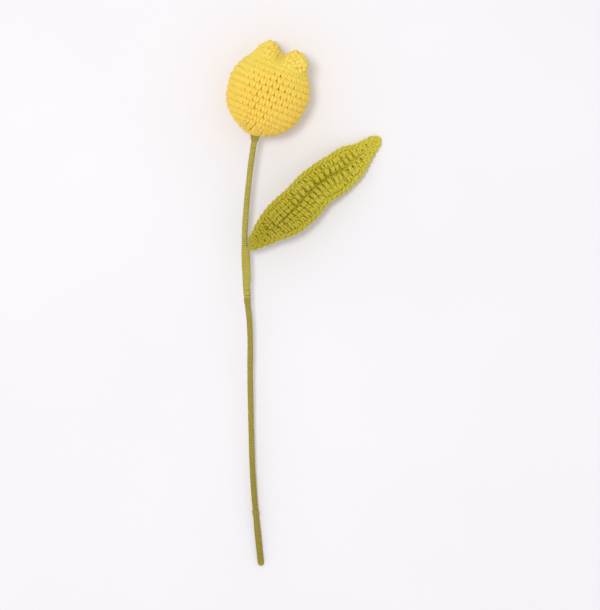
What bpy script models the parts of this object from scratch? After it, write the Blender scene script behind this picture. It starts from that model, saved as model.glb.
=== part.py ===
"""A crocheted tulip lying on a table: a stuffed bloom, a thread-wrapped wire stem and one crocheted leaf.

Run it with: blender --background --python part.py
The stem runs along Y with the bloom at +Y, Z is up, and the table top is the plane Z = 0.
Sizes are written in millimetres and turned into metres where a shape is made.
"""

import math

import bmesh
import bpy
import numpy as np
from mathutils import Matrix, Vector

MM = 0.001
GAP = 0.3  # clearance between two pieces that touch

# The bloom: a stuffed ball of single crochet whose mouth is pinched into four lobes.
BLOOM_CENTRE = (-25.5, 146.6, 27.9)
BLOOM_LEAN = 20.5  # degrees in plan, from +Y towards +X
BLOOM_PITCH = 4.4  # degrees that the mouth is raised, because the stem slopes down to its foot
FABRIC = 3.5  # thickness of single crochet
POLE = -32.1  # the bloom's lowest point along its own axis, from its centre
MOUTH = 26.8  # height of the rim at its four pinched points
PROFILE = (  # (height along the axis, radius of the outside) where the bloom is round
    (POLE, 0.0),
    (-30.1, 8.4),
    (-26.6, 14.4),
    (-21.0, 21.0),
    (-14.0, 25.6),
    (-7.0, 27.9),
    (0.0, 28.6),
    (6.0, 28.1),
    (12.0, 26.2),
    (18.0, 24.4),
    (23.0, 24.6),
    (MOUTH, 24.4),
)
PINCH_START = 14.0  # height where the round section starts to turn into the cross
LOBE_REACH = 23.4  # how far a lobe of the cross reaches from the axis
LOBE_HALF = 3.5  # half the thickness of a lobe: two layers of crochet
RIM = (  # (share of the way from a lobe's end to the pinched point, rise of the rim above that point)
    (0.0, 1.4),
    (0.25, 2.7),
    (0.45, 4.6),
    (0.62, 5.9),
    (0.72, 5.9),
    (0.82, 4.2),
    (0.92, 1.2),
    (1.0, 0.0),
)
CREST = 1.2  # how far the sewn edge of a lobe stands above the rim
LOBE_TURN = 45.0  # degrees from the bloom's upper side to the first lobe
MOUTH_SPREAD = (0.96, 1.05)  # the cross is a little wider across than from above to below
MOUTH_SHIFT = 1.4  # and its middle lies to one side of the bloom's axis
AROUND = 48
RINGS = 17

# The wire in the stem, and the thread wound on it.
WIRE = 0.6  # radius
STEM_PLAN = (  # the stem's own curve in plan, from the bloom's base to the foot
    (-33.85, 116.1),
    (-35.9, 103.0),
    (-37.6, 90.0),
    (-39.5, 72.0),
    (-40.9, 54.0),
    (-41.3, 40.0),
    (-41.0, 26.0),
    (-40.2, 12.0),
    (-39.2, -1.0),
    (-38.0, -12.0),
    (-37.4, -28.0),
    (-37.5, -50.0),
    (-37.0, -80.0),
    (-36.1, -112.0),
    (-34.6, -137.0),
    (-32.6, -158.0),
    (-30.0, -183.4),
)
STEM_TOP_HEIGHT = 25.2
STEM_FOOT_HEIGHT = 1.7
UPPER_RADIUS = 2.2
LOWER_RADIUS = 2.0
JOINT_HALF_WIDTH = 2.9
JOINT_HALF_HEIGHT = 2.2
FOOT_HALF_WIDTH = 2.4
FOOT_HALF_HEIGHT = 1.8
KNOT_RADIUS = 2.7
COLLAR_RADIUS = 3.8
# Where each winding ends, as a distance along the stem from the bloom's base.
COLLAR_END = 4.0
UPPER_END = 74.0
JOINT_END = 113.5
LOWER_END = 261.5
KNOT_END = 266.5
FOOT_TURN = 0.65  # radius of the wire's turn at the foot
HOOK_REACH = 34.0  # how far the wire goes into the bloom before it turns back
HOOK_TURN = 4.0
HOOK_TAIL = 13.0

# The leaf, worked round a foundation chain that has a thin wire in it.
LEAF_WIRE = 0.5  # radius
LEAF_THICK = 3.6
LEAF_MIDRIB = (  # from the leaf's base to its tip
    (-36.6, 40.2, 21.2),
    (-26.5, 49.0, 20.8),
    (-11.5, 61.8, 17.8),
    (5.6, 78.2, 12.6),
    (26.0, 92.6, 6.9),
    (41.5, 104.3, 3.2),
    (52.6, 113.2, 1.8),
)
LEAF_UPPER_EDGE = (  # (share of the length, half width) on the side towards the bloom
    (0.0, 1.9),
    (0.06, 4.3),
    (0.14, 8.6),
    (0.25, 12.8),
    (0.37, 13.6),
    (0.5, 13.5),
    (0.65, 13.2),
    (0.79, 11.8),
    (0.88, 6.8),
    (0.96, 4.8),
    (1.0, 2.0),
)
LEAF_LOWER_EDGE = (
    (0.0, 1.9),
    (0.06, 3.9),
    (0.14, 7.4),
    (0.25, 11.6),
    (0.37, 15.4),
    (0.5, 14.2),
    (0.65, 15.2),
    (0.79, 11.6),
    (0.88, 5.6),
    (0.96, 4.6),
    (1.0, 2.0),
)
LEAF_CUP = 0.20  # rise of the blade's halves from the midrib, as a slope
LEAF_STATIONS = 24
LEAF_WIRE_REACH = 0.93  # share of the blade that the leaf wire runs through
LEAF_WIRE_ASIDE = 1.4  # distance from the stem wire, where both are bound together

YELLOW = (250, 210, 96)
FIBRE = (238, 232, 220)
LEAF_GREEN = (186, 174, 52)
STEM_GREEN = (176, 163, 74)
STEEL = (150, 152, 155)


# ---------------------------------------------------------------- curves and sections


def spline(points, count):
    """count points on the smooth curve through the given points, evenly spread along it."""
    p = np.array(points, float)
    ends = np.vstack([2 * p[0] - p[1], p, 2 * p[-1] - p[-2]])
    fine = []
    for i in range(len(p) - 1):
        a, b, c, d = ends[i : i + 4]
        for t in np.linspace(0, 1, 24, endpoint=False):
            square, cube = 2 * a - 5 * b + 4 * c - d, 3 * b - a - 3 * c + d
            fine.append(b + 0.5 * ((c - a) * t + square * t**2 + cube * t**3))
    fine = np.array([*fine, p[-1]])
    along = np.concatenate([[0], np.cumsum(np.linalg.norm(np.diff(fine, axis=0), axis=1))])
    wanted = np.linspace(0, along[-1], count)
    return np.stack([np.interp(wanted, along, fine[:, k]) for k in range(fine.shape[1])], axis=1)


def reading(table, x):
    """The value at x of a table of (x, value) pairs, on the smooth curve through them."""
    curve = spline(table, 200)
    return float(np.interp(x, curve[:, 0], curve[:, 1]))


def eased(x):
    x = min(max(x, 0.0), 1.0)
    return x * x * (3 - 2 * x)


def lobe_share(turn):
    """(number of the nearest lobe, signed share of the way from its end to a pinched point)."""
    lobe = round(turn * 4)
    return lobe, (turn * 4 - lobe) * 2


def cross_point(turn, reach, half):
    """A point on a four-lobed cross, at a share of a turn that starts at a lobe's end."""
    lobe, t = lobe_share(turn)
    out = half + (reach - half) * (1 - abs(t) ** 1.7)
    aside = half * math.sin(t * math.pi / 2)
    angle = lobe * math.pi / 2 + math.radians(LOBE_TURN)
    x = out * math.cos(angle) - aside * math.sin(angle)
    y = out * math.sin(angle) + aside * math.cos(angle)
    return x * MOUTH_SPREAD[0], y * MOUTH_SPREAD[1] + MOUTH_SHIFT


def pinch_at(height):
    return (max(height - PINCH_START, 0) / (MOUTH - PINCH_START)) ** 2.2


def bloom_ring(height, radius, reach=LOBE_REACH, half=LOBE_HALF, lift=0.0):
    """One ring of the bloom in its own frame, where Z is its axis and X points out of its upper side."""
    pinch = pinch_at(height)
    ring = []
    for i in range(AROUND):
        turn = i / AROUND
        angle = turn * math.tau + math.radians(LOBE_TURN)
        x, y = cross_point(turn, reach, half)
        x = (1 - pinch) * radius * math.cos(angle) + pinch * x
        y = (1 - pinch) * radius * math.sin(angle) + pinch * y
        pinched = abs(lobe_share(turn)[1])
        rise = reading(RIM, pinched) * eased((height - 16.0) / (MOUTH - 16.0))
        ring.append((x, y, height + rise + lift * (1 - 0.7 * pinched**6)))
    return ring


def stem_route():
    """The stem's centre line from the bloom's base to the foot, 0.5 mm apart, and the distance along it."""
    plan = spline(STEM_PLAN, 640)
    along = np.concatenate([[0], np.cumsum(np.linalg.norm(np.diff(plan, axis=0), axis=1))])
    height = STEM_TOP_HEIGHT + (STEM_FOOT_HEIGHT - STEM_TOP_HEIGHT) * along / along[-1]
    return np.column_stack([plan, height]), along


def stem_frame(distance):
    """(point, level direction to the right, direction up) of the stem at a distance from the bloom."""
    route, along = stem_route()
    point = [np.interp(distance, along, route[:, k]) for k in range(3)]
    ahead = [np.interp(distance + 1, along, route[:, k]) for k in range(3)]
    behind = [np.interp(distance - 1, along, route[:, k]) for k in range(3)]
    forward = (Vector(behind) - Vector(ahead)).normalized()  # towards the bloom
    right = forward.cross(Vector((0, 0, 1))).normalized()
    return Vector(point), right, right.cross(forward)


def stem_length():
    return stem_route()[1][-1]


# ---------------------------------------------------------------- making objects


def linear(colour):
    """A colour given in 0 to 255 steps of sRGB, as Blender's linear values."""
    shares = [c / 255 for c in colour]
    return [c / 12.92 if c <= 0.04045 else ((c + 0.055) / 1.055) ** 2.4 for c in shares]


def material(name, colour, roughness, metallic=0.0):
    made = bpy.data.materials.get(name) or bpy.data.materials.new(name)
    made.use_nodes = True
    shader = made.node_tree.nodes["Principled BSDF"]
    shader.inputs["Base Color"].default_value = (*linear(colour), 1)
    shader.inputs["Roughness"].default_value = roughness
    shader.inputs["Metallic"].default_value = metallic
    return made


def place(name, data, finish, parent):
    obj = bpy.data.objects.new(name, data)
    bpy.context.scene.collection.objects.link(obj)
    obj.parent = parent
    if finish:
        data.materials.append(finish)
    return obj


def skin(name, rings, finish, parent, cap_start=True, cap_end=True, join_ends=False):
    """A closed mesh through rings of points in millimetres, each running the same way round."""
    bm = bmesh.new()
    loops = [[bm.verts.new([c * MM for c in point]) for point in ring] for ring in rings]
    pairs = list(zip(loops, loops[1:]))
    if join_ends:
        pairs.append((loops[-1], loops[0]))
    for first, second in pairs:
        count = len(first)
        for i in range(count):
            j = (i + 1) % count
            corners = [first[i], first[j], second[j], second[i]]
            bm.faces.new([v for n, v in enumerate(corners) if v not in corners[:n]])
    if not join_ends and cap_start:
        bm.faces.new(loops[0])
    if not join_ends and cap_end:
        bm.faces.new(loops[-1])
    bmesh.ops.recalc_face_normals(bm, faces=bm.faces)
    mesh = bpy.data.meshes.new(name)
    bm.to_mesh(mesh)
    bm.free()
    mesh.shade_smooth()
    return place(name, mesh, finish, parent)


def rod(name, points, radius, finish, parent):
    """A round wire along points in millimetres, with filled ends."""
    curve = bpy.data.curves.new(name, "CURVE")
    curve.dimensions = "3D"
    curve.bevel_depth = radius * MM
    curve.bevel_resolution = 2
    curve.use_fill_caps = True
    line = curve.splines.new("POLY")
    line.points.add(len(points) - 1)
    for place_on, point in zip(line.points, points):
        place_on.co = (*[c * MM for c in point], 1)
    return place(name, curve, finish, parent)


def as_cutter(obj):
    obj.hide_render = True
    obj.display_type = "WIRE"
    return obj


def meshed(obj):
    """A mesh object in place of a curve object, because a Boolean takes only a mesh."""
    graph = bpy.context.evaluated_depsgraph_get()
    mesh = bpy.data.meshes.new_from_object(obj.evaluated_get(graph))
    bm = bmesh.new()
    bm.from_mesh(mesh)
    bmesh.ops.remove_doubles(bm, verts=bm.verts, dist=0.01 * MM)
    bmesh.ops.recalc_face_normals(bm, faces=bm.faces)
    bm.to_mesh(mesh)
    bm.free()
    name, parent = obj.name, obj.parent
    bpy.data.objects.remove(obj)
    return place(name, mesh, None, parent)


def room_for(name, points, radius, parent):
    """A cutter that clears a wire all round and beyond its first end."""
    before = Vector(points[0]) + (Vector(points[0]) - Vector(points[1])).normalized() * GAP
    return as_cutter(meshed(rod(name, [before, *points], radius + GAP, None, parent)))


def cut(obj, cutter):
    boolean = obj.modifiers.new(cutter.name, "BOOLEAN")
    boolean.operation = "DIFFERENCE"
    boolean.solver = "EXACT"
    boolean.object = cutter


def around_stem(distance, half_width, half_height, aside=0.0, sides=12):
    """A ring with straight top and bottom and round ends, at a distance from the bloom's base."""
    point, right, up = stem_frame(distance)
    ring = []
    for i in range(sides):
        angle = math.tau * i / sides
        level = round(math.cos(angle), 6)
        across = aside + math.copysign(half_width - half_height, level) * (level != 0) + half_height * level
        ring.append(point + right * across + up * half_height * math.sin(angle))
    return ring


def sleeve(name, start, end, outer, inner, finish, parent, step=10.0, aside=0.0, closed_foot=False):
    """A winding of thread as a tube round the wire. outer is a function of the distance; inner is fixed."""
    count = max(2, round((end - start) / step) + 1)
    stations = [start + (end - start) * i / (count - 1) for i in range(count)]
    outside = [around_stem(d, *outer(d), aside) for d in stations]
    inside = [around_stem(d, *inner, aside) for d in stations]
    if not closed_foot:
        return skin(name, outside + inside[::-1], finish, parent, join_ends=True)
    foot_width, foot_height = outer(end)
    for share in (0.45, 0.8, 0.97):  # the rounded end, beyond the wire's turn
        shrink = math.sqrt(1 - share**2)
        sizes = foot_width * shrink, foot_height * shrink
        outside.append(around_stem(end + share * foot_height, *sizes, aside))
    return skin(name, inside[::-1][:0] + inside[::-1] + outside, finish, parent)


# ---------------------------------------------------------------- the bloom


def bloom_matrix():
    """The bloom's own frame: Z along its axis, X out of its upper side."""
    lean, pitch = math.radians(BLOOM_LEAN), math.radians(BLOOM_PITCH)
    axis = Vector((math.sin(lean) * math.cos(pitch), math.cos(lean) * math.cos(pitch), math.sin(pitch)))
    side = axis.cross(Vector((0, 0, 1))).normalized()
    upper = side.cross(axis)
    frame = Matrix((upper, side, axis)).transposed().to_4x4()
    return Matrix.Translation(Vector(BLOOM_CENTRE) * MM) @ frame


def sew_lobes(bm, rim):
    """Close the mouth: the two edges of each lobe are joined, and the four pinched points meet."""
    count = len(rim)
    quarter = count // 4
    for lobe in range(4):
        middle = lobe * quarter
        for step in range(quarter // 2):
            there, back = middle + step, middle - step
            corners = [rim[k % count] for k in (there, there + 1, back - 1, back)]
            bm.faces.new([v for n, v in enumerate(corners) if v not in corners[:n]])
    bm.faces.new([rim[(lobe * quarter + quarter // 2) % count] for lobe in range(4)])


def bloom_cover(parent, finish):
    rings = [bloom_ring(h, r) for h, r in spline(PROFILE, RINGS + 1)[1:]]
    rings.append(bloom_ring(MOUTH, 1.0, LOBE_REACH - 1.2, LOBE_HALF * 0.5, CREST))
    cover = skin("bloom_cover", rings, finish, parent, cap_start=False, cap_end=False)
    bm = bmesh.new()
    bm.from_mesh(cover.data)
    points = list(bm.verts)
    pole = bm.verts.new((0, 0, POLE * MM))
    for i in range(AROUND):
        bm.faces.new((points[i], points[(i + 1) % AROUND], pole))
    sew_lobes(bm, points[-AROUND:])
    bmesh.ops.recalc_face_normals(bm, faces=bm.faces)
    bm.to_mesh(cover.data)
    bm.free()
    return cover


def cavity_profile():
    """(height, radius) up the inside of the cover, which is round and ends under the lobes."""
    floor = POLE + FABRIC
    profile = [(floor, 0.0)]
    for height, radius in spline(PROFILE, 15)[1:]:
        waist = (1 - pinch_at(height)) * radius + pinch_at(height) * LOBE_HALF
        if waist - FABRIC > 2.5 and height < MOUTH - FABRIC - 3:
            profile.append((max(height, floor + 0.8), waist - FABRIC))
    return [*profile, (profile[-1][0] + 1.5, 0.0)]


def bloom_hollow(name, parent, inset, finish=None):
    """A round solid that fits inside the cover, turned about the bloom's axis."""
    profile = [(h * (1 - inset / 18), max(r - inset * 1.2, 0.0)) for h, r in cavity_profile()]
    bm = bmesh.new()
    chain = [bm.verts.new((r * MM, 0, h * MM)) for h, r in profile]
    edges = [bm.edges.new(pair) for pair in zip(chain, chain[1:])]
    bmesh.ops.spin(bm, geom=chain + edges, axis=(0, 0, 1), cent=(0, 0, 0), steps=24, angle=math.tau)
    bmesh.ops.remove_doubles(bm, verts=bm.verts, dist=0.005 * MM)
    bmesh.ops.recalc_face_normals(bm, faces=bm.faces)
    mesh = bpy.data.meshes.new(name)
    bm.to_mesh(mesh)
    bm.free()
    mesh.shade_smooth()
    return place(name, mesh, finish, parent)


def table_cutter(parent):
    """What the table presses flat: the space below Z = 0."""
    bpy.ops.mesh.primitive_cube_add(size=1, location=(0, 0.15, -0.02))
    block = bpy.context.object
    block.name = "table_cutter"
    block.scale = (0.3, 0.2, 0.04)
    bpy.ops.object.transform_apply(location=False, rotation=False, scale=True)
    block.parent = parent
    return as_cutter(block)


def closing_stitch(parent, finish):
    """The end of the bloom's yarn, sewn over the middle of the cross to hold its four points together."""
    top = MOUTH + CREST * 0.3 + GAP
    rings = []
    for height, radius in ((0.0, 1.4), (0.8, 1.8), (1.6, 1.4)):
        ring = []
        for i in range(16):
            angle = math.tau * i / 16
            ring.append((radius * math.cos(angle), MOUTH_SHIFT + radius * math.sin(angle), top + height))
        rings.append(ring)
    return skin("closing_stitch", rings, finish, parent)


# ---------------------------------------------------------------- the stem


def stem_wire_points():
    """From the hook inside the bloom, down the stem, round the foot and back up beside itself."""
    length = stem_length()
    top, _, up = stem_frame(0.0)
    inward = (stem_frame(0.5)[0] - stem_frame(4.0)[0]).normalized()
    centre = Vector(BLOOM_CENTRE)
    end = top + (centre - top).normalized() * HOOK_REACH
    into = spline([end, top + (centre - top).normalized() * 14, top + inward * 1.5, top], 14)
    heading = (end - top).normalized()
    aside = heading.cross(up).normalized()
    hook = []
    for i in range(7):
        angle = math.pi * i / 6
        hook.append(end + aside * HOOK_TURN * (1 - math.cos(angle)) + heading * HOOK_TURN * math.sin(angle))
    tail = hook[-1] - heading * HOOK_TAIL
    down = [stem_frame(d)[0] for d in np.linspace(2.0, KNOT_END - 3, 56)]
    foot, back = [], []
    for d in np.linspace(KNOT_END, length - FOOT_TURN - 3.0, 12):
        point, right, _ = stem_frame(d)
        foot.append(point - right * FOOT_TURN * eased((d - KNOT_END) / 8))
        if d > KNOT_END + 5:  # the wire is folded back as far as the knot
            back.append(point + right * FOOT_TURN)
    point, right, _ = stem_frame(length - FOOT_TURN - 3.0)
    onward = (stem_frame(length - 2)[0] - stem_frame(length - 6)[0]).normalized()
    turn = []
    for i in range(1, 6):
        angle = math.pi * i / 6
        turn.append(point - right * FOOT_TURN * math.cos(angle) + onward * FOOT_TURN * math.sin(angle))
    return [tail, *hook[::-1], *into[1:], *down, *foot, *turn, *back[::-1]]


def stem_windings(parent, finish, leaf_room):
    length = stem_length()
    snug = WIRE + GAP

    def round_of(radius):
        return lambda d: (radius, radius)

    def collar(d):
        return (COLLAR_RADIUS - 0.35 * d,) * 2

    def knot(d):
        bulge = math.sin(math.pi * (d - LOWER_END - GAP) / (KNOT_END - LOWER_END - GAP))
        return (LOWER_RADIUS + (KNOT_RADIUS - LOWER_RADIUS) * bulge,) * 2

    def joint(d):
        swell = eased((JOINT_END - d) / 9.0)
        return (
            LOWER_RADIUS + (JOINT_HALF_WIDTH - LOWER_RADIUS) * (0.55 + 0.45 * swell),
            LOWER_RADIUS + (JOINT_HALF_HEIGHT - LOWER_RADIUS) * swell,
        )

    def foot(d):
        swell = eased((d - KNOT_END) / 8.0)
        return (
            LOWER_RADIUS + (FOOT_HALF_WIDTH - LOWER_RADIUS) * swell,
            LOWER_RADIUS + (FOOT_HALF_HEIGHT - LOWER_RADIUS) * swell,
        )

    both = (LEAF_WIRE_ASIDE / 2 + snug, snug)
    pair = (FOOT_TURN + WIRE + GAP, snug)
    sleeve("collar_winding", 0.3, COLLAR_END, collar, (snug, snug), finish, parent, step=1.9)
    upper, lower = round_of(UPPER_RADIUS), round_of(LOWER_RADIUS)
    sleeve("upper_stem_winding", COLLAR_END + GAP, UPPER_END, upper, (snug, snug), finish, parent)
    at_joint = sleeve(
        "joint_winding",
        UPPER_END + GAP,
        JOINT_END,
        joint,
        both,
        finish,
        parent,
        step=5.0,
        aside=LEAF_WIRE_ASIDE / 2,
    )
    cut(at_joint, leaf_room)
    sleeve("lower_stem_winding", JOINT_END + GAP, LOWER_END, lower, (snug, snug), finish, parent)
    sleeve("winding_knot", LOWER_END + GAP, KNOT_END, knot, (snug, snug), finish, parent, step=1.1)
    sleeve(
        "foot_winding",
        KNOT_END + GAP,
        length - FOOT_HALF_HEIGHT,
        foot,
        pair,
        finish,
        parent,
        step=5.0,
        closed_foot=True,
    )


# ---------------------------------------------------------------- the leaf


def leaf_frame(share):
    """(point, direction to the leaf's lower side, direction up from the blade) at a share of its length."""
    line = spline(LEAF_MIDRIB, 200)
    steps = np.linspace(0, 1, 200)
    point = Vector([np.interp(share, steps, line[:, k]) for k in range(3)])
    ahead = Vector([np.interp(share + 0.02, steps, line[:, k]) for k in range(3)])
    behind = Vector([np.interp(share - 0.02, steps, line[:, k]) for k in range(3)])
    forward = (ahead - behind).normalized()
    lower = forward.cross(Vector((0, 0, 1))).normalized()
    return point, lower, lower.cross(forward)


def leaf_section(share):
    """One closed ring across the blade: over the top from its upper edge, and back underneath."""
    point, lower, up = leaf_frame(share)
    widths = {-1: reading(LEAF_UPPER_EDGE, share), 1: reading(LEAF_LOWER_EDGE, share)}
    top, bottom = [], []
    for across in (-1.0, -0.8, -0.45, -0.15, 0.0, 0.15, 0.45, 0.8, 1.0):
        width = widths[-1 if across < 0 else 1]
        aside = across * width
        lift = LEAF_CUP * abs(aside) * eased(share / 0.12) * (1 - 0.6 * eased((share - 0.8) / 0.2))
        half = LEAF_THICK / 2 * (1 - 0.45 * abs(across) ** 3)
        middle = point + lower * aside + up * lift
        top.append(middle + up * half)
        bottom.append(middle - up * half)
    return top + bottom[::-1]


def leaf_wire_points():
    """From inside the blade, out of its base and down beside the stem wire."""
    inside = [leaf_frame(s)[0] for s in np.linspace(LEAF_WIRE_REACH, 0.0, 22)]
    beside = []
    for distance in np.linspace(UPPER_END + 8, JOINT_END - 1.5, 8):
        point, right, _ = stem_frame(distance)
        beside.append(point + right * LEAF_WIRE_ASIDE)
    bend = spline([inside[-2], inside[-1], beside[0], beside[1]], 12)
    return [*inside[:-2], *bend, *beside[2:]]


def main():
    for obj in list(bpy.data.objects):
        bpy.data.objects.remove(obj)
    flower = bpy.data.objects.new("flower", None)
    bloom = bpy.data.objects.new("bloom", None)
    for empty in (flower, bloom):
        bpy.context.scene.collection.objects.link(empty)
    bloom.parent = flower
    bloom.matrix_world = bloom_matrix()

    yellow_yarn = material("bloom_yarn", YELLOW, 0.9)
    fibre = material("stuffing_fibre", FIBRE, 0.95)
    leaf_yarn = material("leaf_yarn", LEAF_GREEN, 0.9)
    thread = material("stem_thread", STEM_GREEN, 0.85)
    steel = material("wire_steel", STEEL, 0.4, 1.0)

    wire_points = stem_wire_points()
    leaf_wire = leaf_wire_points()
    wire_room = room_for("wire_room", wire_points[:34], WIRE, flower)
    leaf_room = room_for("leaf_wire_room", leaf_wire, LEAF_WIRE, flower)
    hollow = as_cutter(bloom_hollow("bloom_hollow", bloom, 0.0))
    table = table_cutter(flower)

    cover = bloom_cover(bloom, yellow_yarn)
    cut(cover, hollow)
    cut(cover, wire_room)
    cut(cover, table)
    filling = bloom_hollow("bloom_filling", bloom, GAP, fibre)
    cut(filling, wire_room)
    closing_stitch(bloom, yellow_yarn)

    rod("stem_wire", wire_points, WIRE, steel, flower)
    stem_windings(flower, thread, leaf_room)

    sections = [leaf_section(s) for s in np.linspace(0, 1, LEAF_STATIONS)]
    blade = skin("leaf_blade", sections, leaf_yarn, flower)
    cut(blade, leaf_room)
    rod("leaf_wire", leaf_wire, LEAF_WIRE, steel, flower)


main()
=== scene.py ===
"""Looks of a crocheted tulip: every stitch of its bloom and leaf, and every turn of thread on its stem."""

import math

import bpy
import numpy as np
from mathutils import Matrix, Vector, noise


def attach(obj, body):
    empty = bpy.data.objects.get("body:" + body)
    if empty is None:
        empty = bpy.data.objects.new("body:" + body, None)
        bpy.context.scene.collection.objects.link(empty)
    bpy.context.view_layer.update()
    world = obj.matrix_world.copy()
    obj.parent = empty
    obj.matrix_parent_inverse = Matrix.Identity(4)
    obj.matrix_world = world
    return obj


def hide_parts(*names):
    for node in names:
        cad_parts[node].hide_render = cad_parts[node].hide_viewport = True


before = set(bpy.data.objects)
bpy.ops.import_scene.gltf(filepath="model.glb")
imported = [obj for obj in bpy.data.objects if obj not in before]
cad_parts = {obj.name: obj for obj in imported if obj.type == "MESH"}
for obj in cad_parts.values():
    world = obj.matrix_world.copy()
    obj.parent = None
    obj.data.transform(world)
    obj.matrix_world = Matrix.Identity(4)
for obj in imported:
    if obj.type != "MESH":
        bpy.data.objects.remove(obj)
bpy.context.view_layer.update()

MM = 0.001
BODY = "root"

# ---------------------------------------------------------------- the bloom's own shape, in millimetres

BLOOM_CENTRE = (-25.5, 146.6, 27.9)
BLOOM_SHIFT = (0.95, 0.1, 0.0)  # of the yarn's bloom from the plain solid that it stands for
BLOOM_LEAN = 20.5  # degrees in plan, from +Y towards +X
BLOOM_PITCH = 4.4  # degrees that the mouth is raised
POLE = -32.1  # the end at the stem, along the bloom's own axis
MOUTH = 26.8
PROFILE = (  # (height along the axis, radius of the outside)
    (POLE, 0.0), (-30.1, 6.3), (-26.6, 12.5), (-21.0, 20.3), (-14.0, 25.6), (-7.0, 27.9), (0.0, 28.8),
    (6.0, 28.2), (12.0, 25.8), (18.0, 23.2), (23.0, 23.4), (MOUTH, 24.4),
)
PINCH_START = 14.0  # height where the round bloom starts to turn into the mouth's cross
PINCH_SHARPNESS = 2.2  # a greater power keeps it round for longer
LOBE_REACH = (25.7, 22.0)  # of the two lobes on the right and the two on the left
LOBE_HALF = 5.0  # half of a lobe's thickness
LOBE_BLUNTNESS = 1.9  # a greater power makes a lobe's end blunter
RIM_RIGHT = (  # (share of the way from a lobe's end to the middle of the mouth, rise of the rim)
    (0.0, 0.0), (0.22, 1.4), (0.4, 2.5), (0.52, 3.2), (0.62, 4.5), (0.68, 5.3), (0.72, 5.0),
    (0.765, 3.4), (0.82, 1.6), (0.89, 0.1), (1.0, -0.2),
)
RIM_LEFT = (
    (0.0, 0.2), (0.12, 1.0), (0.2, 2.2), (0.31, 4.4), (0.43, 5.5), (0.54, 4.9), (0.67, 2.9), (0.73, 1.3),
    (0.79, 0.0), (0.88, -0.3), (1.0, -0.2),
)
RIM_START = 16.0  # height above which the rounds follow the rim's rise
CREST = 1.2  # how far the sewn edge of a lobe stands above the rim
LOBE_TURN = 45.0  # degrees from the bloom's upper side to the first lobe
MOUTH_SPREAD = (0.96, 1.0)  # of the cross, up and across
MOUTH_SHIFT = 1.2  # of its middle, across

YARN = 2.9  # thickness of the bloom's yarn, where nothing squeezes it
YARN_PRESSED = 2.0  # and the room that it takes up through the fabric
FIRST_ROUND = 0.9  # distance of the first stitches from the pole
ROUND_HEIGHT = 4.3
TIGHT_HEIGHT = 3.4  # of the rounds near the mouth
TIGHT_FROM = 13.8  # the round where they start
LEAN = 0.35  # stitches that each round lags behind the one below
FABRIC_MIDDLE = 3.15  # depth of the fabric's middle layer under the bloom's outside
FABRIC_TAKEN = FABRIC_MIDDLE * 0.9  # depth of the middle layer in a lobe and at the pole
POLE_LEVEL = 12.0  # height from the pole up to which the fabric turns from level to upright
MOUTH_SINK = 2.2  # how far the middle layer lies below the top of the rim
SINK_START = 8.0  # height from which it does
RESTING_HEIGHT = 1.45  # of the lowest yarn's middle, where the bloom lies on the table
ROOM_FILLED = 0.5  # how much fuller the yarn stands where the rounds lie further apart
MOST_ROOM = 1.35  # beyond this share of their mean distance it gets no fuller
ROUNDS = (7, 14, 21, 28, 32, 35, *[36] * 8, 35, *[34] * 4)  # stitches in each round, from the stem up
FULLNESS = ((0, 0.93), (5, 0.92), (9, 0.93), (13, 0.98), (16, 1.1), (19, 1.16))  # (round, yarn's fullness)
SPACING = 0.8  # between the points of a yarn's route
PLY_DEPTH = 0.07  # of the grooves between a yarn's plies, as a share of its thickness
THREAD_DEPTH = 0.05
YARN_TURNS = 110.0  # of the plies, in a metre
THREAD_TURNS = 260.0
LOBED_RADIUS = 0.53  # the greatest radius of a yarn's section, as a share of its thickness

# ---------------------------------------------------------------- the stem's own shape, in millimetres

STEM_PLAN = (  # from the bloom's base to the foot
    (-33.85, 116.1), (-35.9, 103.0), (-37.6, 90.0), (-39.5, 72.0), (-40.9, 54.0), (-41.3, 40.0),
    (-41.0, 26.0), (-40.2, 12.0), (-39.2, -1.0), (-38.0, -12.0), (-37.4, -28.0), (-37.5, -50.0),
    (-37.0, -80.0), (-36.1, -112.0), (-34.6, -137.0), (-32.6, -158.0), (-30.0, -183.4),
)
STEM_TOP_HEIGHT = 25.2
STEM_FOOT_HEIGHT = 1.7
COLLAR_RADIUS = 3.45  # at the bloom
COLLAR_TAPER = 0.25  # as a slope
UPPER_RADIUS = 2.2
LOWER_RADIUS = 2.15
JOINT_HALF = (3.1, 2.35)  # half width, half height
FOOT_HALF = (2.35, 1.85)
KNOT_RADIUS = 2.5
COLLAR_END = 4.0  # distances from the bloom, along the stem
UPPER_END = 74.0
JOINT_END = 113.5
LOWER_END = 261.5
KNOT_END = 266.5
LEAF_WIRE_ASIDE = 1.4  # distance between the two wires in the joint
LEAF_WIRE_END = JOINT_END - 8.5  # the leaf's wire ends a little above the winding's end

# ---------------------------------------------------------------- the leaf's own shape, in millimetres

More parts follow.
